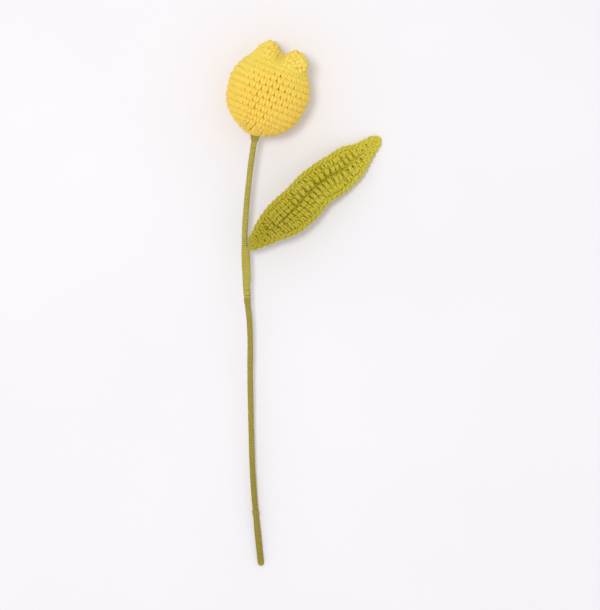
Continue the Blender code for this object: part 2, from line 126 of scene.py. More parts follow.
LEAF_MIDRIB = (  # from the leaf's base to its tip
    (-36.6, 40.2, 21.2), (-26.0, 48.4, 20.8), (-15.5, 56.4, 18.9), (-5.6, 66.4, 16.2), (3.2, 76.2, 13.2),
    (11.3, 83.7, 10.7), (16.9, 87.8, 9.3), (26.1, 92.5, 6.9), (41.3, 104.6, 3.2), (52.6, 114.4, 1.8),
)
LEAF_UPPER_EDGE = (  # (share of the length, half width) on the side towards the bloom
    (0.0, 3.3), (0.06, 6.2), (0.1, 8.8), (0.18, 12.5), (0.26, 13.5), (0.42, 12.2), (0.5, 12.5),
    (0.58, 11.8), (0.7, 12.8), (0.78, 12.0), (0.82, 10.2), (0.855, 7.9), (0.95, 5.4), (0.975, 4.2),
    (1.0, 1.7),
)
LEAF_LOWER_EDGE = (
    (0.0, 3.1), (0.1, 7.0), (0.14, 8.1), (0.26, 13.3), (0.3, 13.8), (0.38, 14.8), (0.5, 13.9),
    (0.58, 15.0), (0.66, 14.0), (0.7, 12.5), (0.78, 10.7), (0.92, 4.9), (0.975, 3.0), (1.0, 1.2),
)
LEAF_CUP = 0.20  # rise of the halves from the midrib, as a slope
LEAF_BASE = (1.3, 0.9)  # of the edge's corner: distance before the midrib's start, and towards the lower side
LEAF_RESTING_HEIGHT = 1.1  # of the lowest yarn's middle
LEAF_GROOVE = 2.6  # depth of the groove over the midrib
GROOVE_HALF = 2.4  # distance from the midrib at which most of it has risen
GROOVE_SHARE = (  # (share of the length, share of that depth)
    (0.0, 0.0), (0.1, 0.2), (0.18, 0.9), (0.33, 0.7), (0.45, 1.0), (0.6, 1.0), (0.75, 0.5), (0.85, 0.15),
    (1.0, 0.0),
)
LEAF_WAVE = 0.7  # rise and fall of the leaf's edge
EDGE_ROOM = 0.8  # the width that the chain along the edge takes up
LEAF_YARN = 1.95
LEAF_YARN_PRESSED = 1.8
LEAF_STITCHES = 27  # along one side
EDGE_LINK = 4.3  # length of a link of the chain along the edge
RIB_LINK = 4.2  # and over the midrib
TALL_FROM = (0.34, 0.46)  # share of the length from which the inner row is tall: upper side, lower side
TALL_UNTIL = 0.84  # and until which it stays so
ROW_TOPS = (0.34, 0.88)  # share of the half width at which the inner and the outer row end
ROW_START = 0.12  # and at which the inner one starts
ROW_WIDENED = 0.21  # how much further out the inner row ends, away from the leaf's ends


# ---------------------------------------------------------------- lines and cloth


def spline(points, count):
    """count points, evenly spread, on the smooth curve through the given points."""
    p = np.array(points, float)
    ends = np.vstack([2 * p[0] - p[1], p, 2 * p[-1] - p[-2]])
    fine = []
    for i in range(len(p) - 1):
        a, b, c, d = ends[i : i + 4]
        for t in np.linspace(0, 1, 24, endpoint=False):
            square, cube = 2 * a - 5 * b + 4 * c - d, 3 * b - a - 3 * c + d
            fine.append(b + 0.5 * ((c - a) * t + square * t**2 + cube * t**3))
    return evenly(np.array([*fine, p[-1]]), count)


def lengths(points):
    """The distance along a line of each of its points."""
    return np.concatenate([[0], np.cumsum(np.linalg.norm(np.diff(points, axis=0), axis=1))])


def evenly(points, count):
    """The same line with count points at equal distances."""
    along = lengths(points[:, :3])
    wanted = np.linspace(0, along[-1], count)
    return np.stack([np.interp(wanted, along, points[:, k]) for k in range(points.shape[1])], axis=1)


def eased(x):
    """A smooth step from 0 to 1."""
    x = np.clip(x, 0.0, 1.0)
    return x * x * (3 - 2 * x)


def reading(table, x):
    """The value at x of the smooth curve through a table's points."""
    curve = spline(table, 200)
    return np.interp(x, curve[:, 0], curve[:, 1])


def mouth_cross(turn, inset, half):
    """Points on the four-lobed cross at shares of a turn, an array."""
    lobe = np.round(turn * 4)
    right = lobe % 4 < 2
    t = (turn * 4 - lobe) * 2
    out = half + (np.where(right, *LOBE_REACH) - inset - half) * (1 - np.abs(t) ** LOBE_BLUNTNESS)
    aside = half * np.sin(t * np.pi / 2)
    angle = lobe * np.pi / 2 + math.radians(LOBE_TURN)
    x = out * np.cos(angle) - aside * np.sin(angle)
    y = out * np.sin(angle) + aside * np.cos(angle)
    return x * MOUTH_SPREAD[0], y * MOUTH_SPREAD[1] + MOUTH_SHIFT, np.abs(t), right


def pinched_share(height):
    """How far the bloom has turned from round to the mouth's cross."""
    return (max(height - PINCH_START, 0) / (MOUTH - PINCH_START)) ** PINCH_SHARPNESS


def bloom_ring(height, radius, inset, half, lift=0.0, around=480):
    """A ring of the bloom's fabric, as points spread evenly round it from the middle of one lobe's end."""
    turn = np.arange(around) / around
    pinch = pinched_share(height)
    x, y, pinched, right = mouth_cross(turn, inset, half)
    angle = turn * math.tau + math.radians(LOBE_TURN)
    x = (1 - pinch) * radius * np.cos(angle) + pinch * x
    y = (1 - pinch) * radius * np.sin(angle) + pinch * y
    rim = np.where(right, reading(RIM_RIGHT, pinched), reading(RIM_LEFT, pinched))
    rise = rim * eased((height - RIM_START) / (MOUTH - RIM_START))
    sink = MOUTH_SINK * eased((height - SINK_START) / (MOUTH - SINK_START))
    ring = np.stack([x, y, height - sink + rise + lift * (1 - 0.7 * pinched**6)], axis=1)
    return evenly(np.vstack([ring, ring[:1]]), around + 1)[:-1]


class Cloth:
    """A fabric's middle layer: points over (distance along it, share of the way round it or across it)."""

    def __init__(self, grid, closed, along=None):
        self.grid = np.asarray(grid, float)
        self.closed = closed
        steps = np.linalg.norm(np.diff(self.grid, axis=0), axis=2).mean(axis=1)
        self.along = np.concatenate([[0], np.cumsum(steps)]) if along is None else np.asarray(along, float)
        up = np.gradient(self.grid, self.along, axis=0)
        if closed:
            right = np.roll(self.grid, -1, axis=1) - np.roll(self.grid, 1, axis=1)
        else:
            right = np.gradient(self.grid, axis=1)
        normal = np.cross(right, up)
        normal /= np.maximum(np.linalg.norm(normal, axis=2, keepdims=True), 1e-9)
        if closed:
            for _ in range(4):  # soften the normals, so that yarn doesn't fold over itself in a crease
                normal = normal + np.roll(normal, 1, axis=1) + np.roll(normal, -1, axis=1)
                normal /= np.maximum(np.linalg.norm(normal, axis=2, keepdims=True), 1e-9)
        self.normal = normal
        apart = np.linalg.norm(np.gradient(self.grid, axis=0), axis=2)
        room = np.clip(apart / apart.mean(axis=1, keepdims=True), 1.0, MOST_ROOM)
        self.room = room[..., None] ** ROOM_FILLED

    def read(self, field, s, u):
        """The values of a field over the grid at distances s and shares u."""
        rows, columns = self.grid.shape[:2]
        i = np.interp(s, self.along, np.arange(rows))
        i0 = np.clip(np.floor(i).astype(int), 0, rows - 2)
        fi = (i - i0)[:, None]
        if self.closed:
            j = (u % 1.0) * columns
            j0 = np.floor(j).astype(int) % columns
            j1 = (j0 + 1) % columns
            fj = (j - np.floor(j))[:, None]
        else:
            j = np.clip(u, 0, 1) * (columns - 1)
            j0 = np.clip(np.floor(j).astype(int), 0, columns - 2)
            j1 = j0 + 1
            fj = (j - j0)[:, None]
        near = field[i0, j0] * (1 - fj) + field[i0, j1] * fj
        far = field[i0 + 1, j0] * (1 - fj) + field[i0 + 1, j1] * fj
        return near * (1 - fi) + far * fi

    def at(self, s, u, depth):
        """Points at depth above the middle layer."""
        return self.read(self.grid, s, u) + self.read(self.normal, s, u) * depth[:, None]


def bloom_cloth():
    """The bloom's fabric, from the pole to the crests that close its mouth."""
    half = LOBE_HALF - FABRIC_TAKEN
    rings = []
    for height, radius in spline(PROFILE, 90)[1:]:
        slope = min(1.0, (height - POLE) / POLE_LEVEL)  # level fabric lies higher, upright fabric further in
        inner = max(radius - FABRIC_MIDDLE * slope, 0.25)
        rings.append(bloom_ring(height + FABRIC_TAKEN * (1 - slope), inner, FABRIC_MIDDLE, half))
    for share in (1 / 3, 2 / 3, 1):  # the crests, where a lobe's two layers come together
        inset = FABRIC_MIDDLE + share
        rings.append(bloom_ring(MOUTH, 1.0, inset, half * (1 - 0.62 * share), CREST * 0.5 * share))
    return Cloth(rings, closed=True)


def bloom_matrix():
    """From the bloom's own frame, where Z is its axis and X points out of its upper side, to the table's."""
    lean, pitch = math.radians(BLOOM_LEAN), math.radians(BLOOM_PITCH)
    axis = Vector((math.sin(lean) * math.cos(pitch), math.cos(lean) * math.cos(pitch), math.sin(pitch)))
    side = axis.cross(Vector((0, 0, 1))).normalized()
    upper = side.cross(axis)
    return np.array([upper, side, axis]).T, np.array(BLOOM_CENTRE) + BLOOM_SHIFT


# ---------------------------------------------------------------- single crochet


def legs(left, *top):
    """A stitch's two legs at the front: the left one, what joins them on top, and the left one mirrored."""
    return [*left, *top, *((-forward, *rest) for forward, *rest in left[::-1])]


# One stitch as the yarn runs: (stitches forward, rounds up, yarn thicknesses out, fullness). Forward 0 is the
# stitch's own column, up is 0 at the hole it is worked into and 1 at its top, and squeezed yarn is less full.
STITCH = np.array([
    # down behind the fabric, and out under the stitch below
    (-0.84, 0.92, -0.56, 0.85), (-0.58, 0.60, -0.70, 0.9), (-0.34, 0.24, -0.72, 0.9),
    (-0.12, -0.04, -0.66, 0.85), (-0.06, -0.14, -0.40, 0.8),
    *legs([
        (-0.08, -0.1, 0.1, 0.78), (-0.13, 0.06, 0.6, 0.88), (-0.19, 0.28, 0.9, 1.03),
        (-0.235, 0.52, 0.94, 1.08), (-0.25, 0.76, 0.66, 1.04), (-0.22, 0.92, 0.1, 0.88),
        (-0.12, 1.0, -0.4, 0.78),
    ]),
    # up behind the legs
    (0.10, -0.08, -0.50, 0.8), (0.12, 0.28, -0.74, 0.9), (0.09, 0.66, -0.66, 0.9), (0.10, 0.88, -0.36, 0.85),
    # along the front of the stitch's top, and back along its other side
    (0.28, 0.98, -0.10, 0.85), (0.54, 0.99, 0.0, 0.85), (0.84, 0.97, -0.10, 0.85),
    (1.02, 1.00, -0.36, 0.85), (0.84, 1.03, -0.62, 0.85), (0.46, 1.04, -0.70, 0.85),
])


def stitch_plan(in_rounds, seed):
    """For every stitch of a spiral: the turn of its top and of its hole, the round of both, and its width.

    Turns are counted round the bloom, and where two stitches share a hole their tops spread apart.
    """
    rng = np.random.default_rng(seed)
    turn = [k / (in_rounds[0] + LEAN) for k in range(in_rounds[0])]
    plan = [(t, t, 1.0 + k / in_rounds[0], k / in_rounds[0]) for k, t in enumerate(turn)]
    first = 0
    for number, (below, count) in enumerate(zip(in_rounds, in_rounds[1:]), start=1):
        top = np.array(turn)
        step = 1.0 / (count + LEAN)
        shift = rng.uniform(0.2, 0.8)  # so that the stitches added in each round don't stack up
        base = first + np.clip(np.floor((np.arange(count) + shift) * below / count).astype(int), 0, below - 1)
        gap = np.diff(top, prepend=top[0] - (top[1] - top[0]))
        hole = top[base] - LEAN * gap[base] + 1.0
        wanted = hole.copy()
        twice = np.flatnonzero(np.diff(base) == 0)
        wanted[twice] -= 0.28 * step
        wanted[twice + 1] += 0.28 * step
        spread = wanted.copy()
        for _ in range(2 if count == below else 7):  # the fabric evens out
            before = np.concatenate([[top[-1]], spread[:-1]])
            after = np.concatenate([spread[1:], [spread[-1] + step]])
            spread = 0.5 * spread + 0.25 * (before + after)
        for k in range(count):
            plan.append((spread[k], hole[k], number + 1.0 + k / count, plan[base[k]][2]))
        first += below
        turn.extend(spread)
    plan = np.array(plan)
    width = np.diff(plan[:, 0], append=2 * plan[-1, 0] - plan[-2, 0])
    return np.column_stack([plan, width])


def work_stitches(cloth, plan, place, thickness, seed, stitch=STITCH, loose=1.0, swell=None):
    """The yarn's route through every stitch of the plan, with its fullness at every point.

    place turns a round and a turn into a distance on the cloth. loose says how uneven the stitches are, and
    swell how much further out each one stands.
    """
    draw = np.random.default_rng(seed).standard_normal
    top_turn, hole_turn, top_round, hole_round, step = (plan[:, k][:, None] for k in range(5))
    forward, up, out = (stitch[:, k][None, :] for k in range(3))
    share = np.clip(up, -0.2, 1.2)
    turn = hole_turn + (top_turn - hole_turn) * share + forward * step
    level = hole_round + (top_round - hole_round) * share
    count = len(plan)
    turn = turn + loose * step * 0.022 * draw((count, 1))
    level = level + loose * (0.02 * draw((count, 1)) + 0.012 * draw((count, len(stitch))))
    depth = out + loose * (0.05 * draw((count, 1)) + 0.02 * draw(out.shape))
    if swell is not None:
        depth = np.where(depth > 0, depth * swell[:, None], depth)
    depth = depth * thickness
    s = place(level, turn)
    route = cloth.at(s.ravel(), -turn.ravel(), np.broadcast_to(depth, s.shape).ravel())
    fullness = np.tile(stitch[:, 3], count)
    if cloth.closed:  # the yarn fills the room that it has
        fullness = fullness * cloth.read(cloth.room, s.ravel(), -turn.ravel())[:, 0]
    return np.column_stack([route, fullness])


def smooth_route(points, spacing):
    """The smooth curve through points, with a point at every spacing."""
    p = np.asarray(points, float)
    before = np.vstack([2 * p[0] - p[1], p[:-1]])
    after = np.vstack([p[1:], 2 * p[-1] - p[-2]])
    tangent = (after - before) / 2
    pieces = []
    for t in np.linspace(0, 1, 6, endpoint=False):
        h = (2 * t**3 - 3 * t**2 + 1, t**3 - 2 * t**2 + t, -2 * t**3 + 3 * t**2, t**3 - t**2)
        pieces.append(h[0] * p[:-1] + h[1] * tangent[:-1] + h[2] * p[1:] + h[3] * tangent[1:])
    fine = np.stack(pieces, axis=1).reshape(-1, p.shape[1])
    fine = np.vstack([fine, p[-1:]])
    return evenly(fine, max(2, int(lengths(fine[:, :3])[-1] / spacing)))


# ---------------------------------------------------------------- geometry nodes


def new_tree(name, inputs):
    """A geometry node tree with a geometry input and the named inputs [(name, socket type, value)]."""
    tree = bpy.data.node_groups.new(name, "GeometryNodeTree")
    tree.interface.new_socket("Geometry", in_out="INPUT", socket_type="NodeSocketGeometry")
    for label, kind, value in inputs:
        socket = tree.interface.new_socket(label, in_out="INPUT", socket_type=kind)
        if value is not None:
            socket.default_value = value
    tree.interface.new_socket("Geometry", in_out="OUTPUT", socket_type="NodeSocketGeometry")
    return tree, tree.nodes.new("NodeGroupInput"), tree.nodes.new("NodeGroupOutput")


def node(tree, kind, links=(), **values):
    """A node with its settings and its links [(input, output socket or value)]."""
    made = tree.nodes.new(kind)
    for key, value in values.items():
        setattr(made, key, value)
    for socket, source in links:
        if isinstance(source, bpy.types.NodeSocket):
            tree.links.new(source, made.inputs[socket])
        else:
            made.inputs[socket].default_value = source
    return made


def maths(tree, operation, *sources):
    """The result of one step of arithmetic."""
    return node(tree, "ShaderNodeMath", list(enumerate(sources)), operation=operation).outputs[0]


def yarn_tree():
    """Plied yarn along every line: a lobed section that turns as it goes.

    Its attribute twist keeps, for the material, the direction across the section and the way along the yarn.
    """
    tree, given, result = new_tree(
        "plied_yarn",
        [
            ("Thickness", "NodeSocketFloat", YARN * MM),
            ("Sides", "NodeSocketInt", 8),
            ("Ply Depth", "NodeSocketFloat", PLY_DEPTH),
            ("Turns per Metre", "NodeSocketFloat", YARN_TURNS),
            ("Material", "NodeSocketMaterial", None),
        ],
    )
    give = given.outputs
    route = node(tree, "GeometryNodeSplineParameter")
    turns = maths(tree, "MULTIPLY", route.outputs["Length"], give["Turns per Metre"])
    turned = maths(tree, "MULTIPLY", turns, math.tau)
    tilted = node(tree, "GeometryNodeSetCurveTilt", [("Curve", give["Geometry"]), ("Tilt", turned)])
    kept = node(tree, "GeometryNodeCaptureAttribute", [("Geometry", tilted.outputs[0])], domain="POINT")
    kept.capture_items.new("FLOAT", "Along")
    tree.links.new(route.outputs["Length"], kept.inputs["Along"])
    circle = [("Resolution", give["Sides"]), ("Radius", 1.0)]
    section = node(tree, "GeometryNodeCurvePrimitiveCircle", circle, mode="RADIUS")
    index = node(tree, "GeometryNodeInputIndex")
    odd = maths(tree, "MODULO", index.outputs[0], 2.0)
    depth = maths(tree, "MULTIPLY", give["Ply Depth"], 2.0)
    lobed = maths(tree, "SUBTRACT", 1.0, maths(tree, "MULTIPLY", odd, depth))
    radius = maths(tree, "MULTIPLY", lobed, maths(tree, "MULTIPLY", give["Thickness"], LOBED_RADIUS))
    place = node(tree, "GeometryNodeInputPosition")
    scaled = node(tree, "ShaderNodeVectorMath", [(0, place.outputs[0]), ("Scale", radius)], operation="SCALE")
    moved = [("Geometry", section.outputs[0]), ("Position", scaled.outputs[0])]
    shaped = node(tree, "GeometryNodeSetPosition", moved)
    side = node(tree, "GeometryNodeCaptureAttribute", [("Geometry", shaped.outputs[0])], domain="POINT")
    side.capture_items.new("FLOAT", "Side")
    around = node(tree, "GeometryNodeSplineParameter")
    tree.links.new(maths(tree, "MULTIPLY", around.outputs["Factor"], math.tau), side.inputs["Side"])
    fullness = node(tree, "GeometryNodeInputRadius").outputs[0]
    swept = [("Curve", kept.outputs[0]), ("Profile Curve", side.outputs[0]), ("Scale", fullness)]
    tube = node(tree, "GeometryNodeCurveToMesh", [*swept, ("Fill Caps", True)])
    smooth = node(tree, "GeometryNodeSetShadeSmooth", [("Geometry", tube.outputs[0])])
    across = side.outputs["Side"]
    parts = [(0, maths(tree, "COSINE", across)), (1, maths(tree, "SINE", across)), (2, kept.outputs["Along"])]
    twist = node(tree, "ShaderNodeCombineXYZ", parts)
    stored = node(
        tree,
        "GeometryNodeStoreNamedAttribute",
        [("Geometry", smooth.outputs[0]), ("Name", "twist")],
        data_type="FLOAT_VECTOR",
        domain="POINT",
    )
    tree.links.new(twist.outputs[0], stored.inputs["Value"])
    real = node(tree, "GeometryNodeRealizeInstances", [("Geometry", stored.outputs[0])])
    finish = [("Geometry", real.outputs[0]), ("Material", give["Material"])]
    painted = node(tree, "GeometryNodeSetMaterial", finish)
    tree.links.new(painted.outputs[0], result.inputs["Geometry"])
    return tree


def yarn_piece(name, routes, tree, thickness, finish, depth=PLY_DEPTH, turns=YARN_TURNS):
    """Yarn along routes, in millimetres, as a plain mesh. A route's fourth column is the yarn's fullness."""
    curve = bpy.data.curves.new(name, "CURVE")
    curve.dimensions = "3D"
    for route in routes:
        line = curve.splines.new("POLY")
        line.points.add(len(route) - 1)
        flat = np.ones((len(route), 4), np.float32)
        flat[:, :3] = route[:, :3] * MM
        line.points.foreach_set("co", flat.ravel())
        if route.shape[1] > 3:
            line.points.foreach_set("radius", route[:, 3].astype(np.float32))
    source = bpy.data.objects.new(name, curve)
    bpy.context.scene.collection.objects.link(source)
    modifier = source.modifiers.new("make", "NODES")
    modifier.node_group = tree
    items = tree.interface.items_tree
    sockets = {item.name: item.identifier for item in items if item.in_out == "INPUT"}
    values = {"Thickness": thickness * MM, "Ply Depth": depth, "Turns per Metre": turns, "Material": finish}
    for label, value in values.items():
        modifier[sockets[label]] = value
    graph = bpy.context.evaluated_depsgraph_get()
    mesh = bpy.data.meshes.new_from_object(source.evaluated_get(graph), depsgraph=graph)
    bpy.data.objects.remove(source)
    return mesh_piece(name, mesh)


def mesh_piece(name, mesh):
    """A new piece at the origin, with its place in its mesh."""
    mesh.name = name
    piece = bpy.data.objects.new(name, mesh)
    bpy.context.scene.collection.objects.link(piece)
    return piece


# ---------------------------------------------------------------- materials


def colour(red, green, blue):
    """A linear colour from the usual 0 to 255 values."""
    shares = [c / 255 for c in (red, green, blue)]
    return [c / 12.92 if c <= 0.04045 else ((c + 0.055) / 1.055) ** 2.4 for c in shares] + [1.0]


def new_group(name, inputs, outputs):
    """A shader node group with inputs [(name, socket type, value)] and outputs [(name, socket type)]."""
    group = bpy.data.node_groups.new(name, "ShaderNodeTree")
    for label, kind, value in inputs:
        group.interface.new_socket(label, in_out="INPUT", socket_type=kind).default_value = value
    for label, kind in outputs:
        group.interface.new_socket(label, in_out="OUTPUT", socket_type=kind)
    return group, group.nodes.new("NodeGroupInput").outputs, group.nodes.new("NodeGroupOutput").inputs


def mixed(tree, share, first, second, blend="MIX"):
    """A mix of two colours."""
    made = tree.nodes.new("ShaderNodeMix")
    made.data_type = "RGBA"
    made.blend_type = blend
    for socket, source in ((made.inputs[0], share), (made.inputs[6], first), (made.inputs[7], second)):
        if isinstance(source, bpy.types.NodeSocket):
            tree.links.new(source, socket)
        else:
            socket.default_value = source
    return made.outputs[2]


def spread(tree, value, low, high):
    """The value from 0 to 1, spread between low and high."""
    return node(tree, "ShaderNodeMapRange", [("Value", value), ("To Min", low), ("To Max", high)]).outputs[0]


def noisy(tree, place, scale, detail, **more):
    """Noise from 0 to 1 at a place."""
    links = [("Vector", place), ("Scale", scale), ("Detail", detail), *more.items()]
    return node(tree, "ShaderNodeTexNoise", links).outputs["Fac"]


def stretched(tree, place, by):
    """A place scaled by three factors, for a pattern that is drawn out."""
    return node(tree, "ShaderNodeVectorMath", [(0, place), (1, by)], operation="MULTIPLY").outputs[0]


def spun_group():
    """Spun and plied yarn: dye that varies along it, painted shade in the grooves between its plies, and fine
    surface fibres.

    Warm tints the colour more and more along the direction Warm Way, from where that reaches Warm Start. On
    the bloom and the leaf this tint is painted shade towards their bases.
    """
    group, given, result = new_group(
        "spun_yarn",
        [
            ("Colour", "NodeSocketColor", (1, 1, 1, 1)),
            ("Shade Between Plies", "NodeSocketColor", (0.5, 0.5, 0.5, 1)),
            ("Faded", "NodeSocketColor", (1, 1, 1, 1)),
            ("Plies", "NodeSocketFloat", 4.0),
            ("Turns per Metre", "NodeSocketFloat", YARN_TURNS),
            ("Fibres", "NodeSocketFloat", 5.0),
            ("Warm", "NodeSocketColor", (1, 1, 1, 1)),
            ("Warm Way", "NodeSocketVector", (0, 0, 0)),
            ("Warm Start", "NodeSocketFloat", 0.0),
        ],
        [("Colour", "NodeSocketColor"), ("Roughness", "NodeSocketFloat"), ("Height", "NodeSocketFloat")],
    )
    twist = node(group, "ShaderNodeAttribute", attribute_name="twist")
    parts = node(group, "ShaderNodeSeparateXYZ", [(0, twist.outputs["Vector"])])
    angle = maths(group, "ARCTAN2", parts.outputs[1], parts.outputs[0])
    along = parts.outputs[2]
    half_plies = maths(group, "MULTIPLY", given["Plies"], 0.5)
    ply = maths(group, "ABSOLUTE", maths(group, "COSINE", maths(group, "MULTIPLY", angle, half_plies)))
    ply = maths(group, "POWER", ply, 0.6)
    unwound = maths(group, "MULTIPLY", maths(group, "MULTIPLY", along, given["Turns per Metre"]), math.tau)
    level = maths(group, "ADD", angle, unwound)
    fibre_place = node(group, "ShaderNodeCombineXYZ", [(2, maths(group, "MULTIPLY", along, 900.0))])
    for k, operation in enumerate(("COSINE", "SINE")):
        side = maths(group, "MULTIPLY", maths(group, operation, level), given["Fibres"])
        group.links.new(side, fibre_place.inputs[k])
    fibre = noisy(group, fibre_place.outputs[0], 1.0, 2.0, Roughness=0.6)
    slow_place = node(group, "ShaderNodeCombineXYZ", [(0, maths(group, "MULTIPLY", along, 70.0))])
    slow = noisy(group, slow_place.outputs[0], 1.0, 1.5)
    place = node(group, "ShaderNodeTexCoord").outputs["Object"]
    patch = noisy(group, place, 45.0, 2.0)
    faded = maths(group, "MULTIPLY", spread(group, patch, -0.25, 0.9), spread(group, slow, 0.6, 1.2))
    faded = maths(group, "MAXIMUM", maths(group, "MINIMUM", faded, 1.0), 0.0)
    dye_and_painted_shade = mixed(group, faded, given["Colour"], given["Faded"])
    way = node(group, "ShaderNodeVectorMath", [(0, place), (1, given["Warm Way"])], operation="DOT_PRODUCT")
    warmth = maths(group, "SUBTRACT", way.outputs["Value"], given["Warm Start"])
    warmth = maths(group, "MAXIMUM", maths(group, "MINIMUM", warmth, 1.0), 0.0)
    # painted shade on the bloom and the leaf: the Warm tint, darker towards their bases
    dye_and_painted_shade = mixed(group, warmth, dye_and_painted_shade, mixed(group, 1.0, dye_and_painted_shade, given["Warm"], "MULTIPLY"))
    # painted shade in the grooves between the plies, where the yarn turns darker
    dye_and_painted_shade = mixed(group, spread(group, ply, 0.55, 0.0), dye_and_painted_shade, given["Shade Between Plies"])
    grey = spread(group, maths(group, "ADD", fibre, maths(group, "MULTIPLY", slow, 0.4)), 0.80, 1.08)
    shade = node(group, "ShaderNodeCombineColor", [(0, grey), (1, grey), (2, grey)]).outputs[0]
    group.links.new(mixed(group, 1.0, dye_and_painted_shade, shade, "MULTIPLY"), result["Colour"])
    group.links.new(spread(group, fibre, 0.78, 0.95), result["Roughness"])
    height = maths(group, "ADD", maths(group, "MULTIPLY", ply, 0.6), maths(group, "MULTIPLY", fibre, 0.5))
    group.links.new(height, result["Height"])
    return group


def new_material(name):
    """A material, its node tree and its shader."""
    made = bpy.data.materials.new(name)
    made.use_nodes = True
    return made, made.node_tree, made.node_tree.nodes["Principled BSDF"]


def bumped(tree, shader, height, distance, strength=0.7):
    """Raises the shader's surface by a height from 0 to 1, times the distance in metres."""
    bump = node(tree, "ShaderNodeBump", [("Height", height), ("Distance", distance), ("Strength", strength)])
    tree.links.new(bump.outputs[0], shader.inputs["Normal"])


def tint_along(tint, start, way, length):
    """A yarn's Warm inputs: more tinted from start on, over a length in the direction way, in metres."""
    way = np.array(way) / length
    return colour(*tint), way, float(np.dot(way, start))


def yarn_material(
    name, group, main, between, faded, sheen=0.3, glow=0.12, warm=(), plies=4, turns=YARN_TURNS
):
    """Yarn in three shades: its main colour, the painted shade between its plies and the one where it has
    faded.
    """
    made, tree, shader = new_material(name)
    spun = tree.nodes.new("ShaderNodeGroup")
    spun.node_tree = group
    given = {"Colour": colour(*main), "Shade Between Plies": colour(*between), "Faded": colour(*faded)}
    given |= {"Plies": plies, "Turns per Metre": turns}
    given |= dict(zip(("Warm", "Warm Way", "Warm Start"), warm))
    for label, value in given.items():
        spun.inputs[label].default_value = value
    tree.links.new(spun.outputs["Colour"], shader.inputs["Base Color"])
    tree.links.new(spun.outputs["Roughness"], shader.inputs["Roughness"])
    bumped(tree, shader, spun.outputs["Height"], 0.00022)
    shader.inputs["Specular IOR Level"].default_value = 0.25
    shader.inputs["Sheen Weight"].default_value = sheen
    shader.inputs["Sheen Roughness"].default_value = 0.55
    shader.inputs["Sheen Tint"].default_value = colour(*faded)
    shader.inputs["Subsurface Weight"].default_value = glow
    shader.inputs["Subsurface Radius"].default_value = (1.0, 0.7, 0.25)
    shader.inputs["Subsurface Scale"].default_value = 0.0012
    return made


def stuffing_material():
    """White polyester fibre: soft clumps of fine crossing fibres."""
    made, tree, shader = new_material("stuffing_fibre")
    place = node(tree, "ShaderNodeTexCoord").outputs["Object"]
    clump = noisy(tree, place, 160.0, 3.0)
    strand = noisy(tree, stretched(tree, place, (60.0, 900.0, 200.0)), 1.0, 3.0, Distortion=1.5)
    white = mixed(tree, clump, colour(226, 214, 178), colour(250, 242, 216))
    tree.links.new(white, shader.inputs["Base Color"])
    tree.links.new(spread(tree, strand, 0.8, 1.0), shader.inputs["Roughness"])
    bumped(tree, shader, maths(tree, "ADD", clump, strand), 0.0004)
    shader.inputs["Sheen Weight"].default_value = 0.4
    return made


def steel_material():
    """Drawn steel wire, with the die's fine lines and a little dullness."""
    made, tree, shader = new_material("wire_steel")
    place = node(tree, "ShaderNodeTexCoord").outputs["Object"]
    lines = noisy(tree, stretched(tree, place, (4000.0, 60.0, 4000.0)), 1.0, 2.0)
    dull = noisy(tree, place, 120.0, 4.0)
    grey = mixed(tree, dull, colour(138, 139, 141), colour(172, 173, 176))
    tree.links.new(grey, shader.inputs["Base Color"])
    worn = maths(tree, "MULTIPLY", lines, dull)
    tree.links.new(spread(tree, worn, 0.25, 0.65), shader.inputs["Roughness"])
    bumped(tree, shader, lines, 0.00003)
    shader.inputs["Metallic"].default_value = 1.0
    return made


# ---------------------------------------------------------------- the bloom


def bloom_place(level, turn):
    """Distance from the pole, along the fabric, at which a round lies. It is the same at every turn."""
    loose = ROUND_HEIGHT * np.minimum(level, TIGHT_FROM)
    return FIRST_ROUND + loose + TIGHT_HEIGHT * np.maximum(level - TIGHT_FROM, 0)


def make_bloom(cloth, tree, finish):
    """The bloom's 19 rounds of single crochet, as three pieces."""
    plan = stitch_plan(ROUNDS, 8)
    turn, origin = bloom_matrix()
    pieces = []
    names = ("bloom_rounds_below", "bloom_rounds_middle", "bloom_rounds_mouth")
    cuts = np.searchsorted(plan[:, 2], (0, 9, 14, 99))  # the rounds where each piece starts
    for k, name in enumerate(names):
        part = plan[cuts[k] : cuts[k + 1]]
        lowest = np.clip((8.5 - part[:, 2]) / 3.5, 0, 1)  # 1 up to the fifth round, 0 from the ninth
        topmost = np.clip((part[:, 2] - 14.0) / 2.0, 0, 1)  # 0 up to round 14, 1 from round 16
        swell = (1 + 0.4 * lowest) * (1 - 0.25 * topmost)
        route = work_stitches(cloth, part, bloom_place, YARN_PRESSED, 11 + k, swell=swell)
        route[:, 3] *= np.interp(np.repeat(part[:, 2], len(STITCH)), *zip(*FULLNESS))
        route = smooth_route(route, SPACING)
        route[:, :3] = route[:, :3] @ turn.T + origin
        route[:, 2] = np.maximum(route[:, 2], RESTING_HEIGHT)
        pieces.append(yarn_piece(name, [route], tree, YARN, finish))
    return pieces


def whip_stitches(cloth, lobe, count=5):
    """Yarn sewn over the crest of one lobe, from its outer end to the middle of the mouth."""
    top = cloth.along[-1]
    route = []
    for k in range(count):
        for share, down, depth, side in (  # side 0 is where the yarn crosses over the crest
            (0.0, 3.4, -0.3, -1),
            (0.15, 3.2, 0.75, -1),
            (0.3, 1.4, 1.15, -1),
            (0.5, 0.0, 0.0, 0),
            (0.7, 1.4, 1.15, 1),
            (0.85, 3.2, 0.75, 1),
            (1.0, 3.4, -0.3, 1),
        ):
            reach = 0.022 + 0.095 * (k + share * 0.55) / count  # share of a turn, from the lobe's end
            if side:
                here = np.array([[top - down], [lobe / 4 + side * reach], [depth * YARN_PRESSED]])
                route.append(cloth.at(*here)[0])
            else:
                pair = cloth.at(np.full(2, top), lobe / 4 + reach * np.array([1, -1]), np.zeros(2))
                route.append(pair.mean(axis=0) + (0, 0, 0.5 * YARN))
    return route


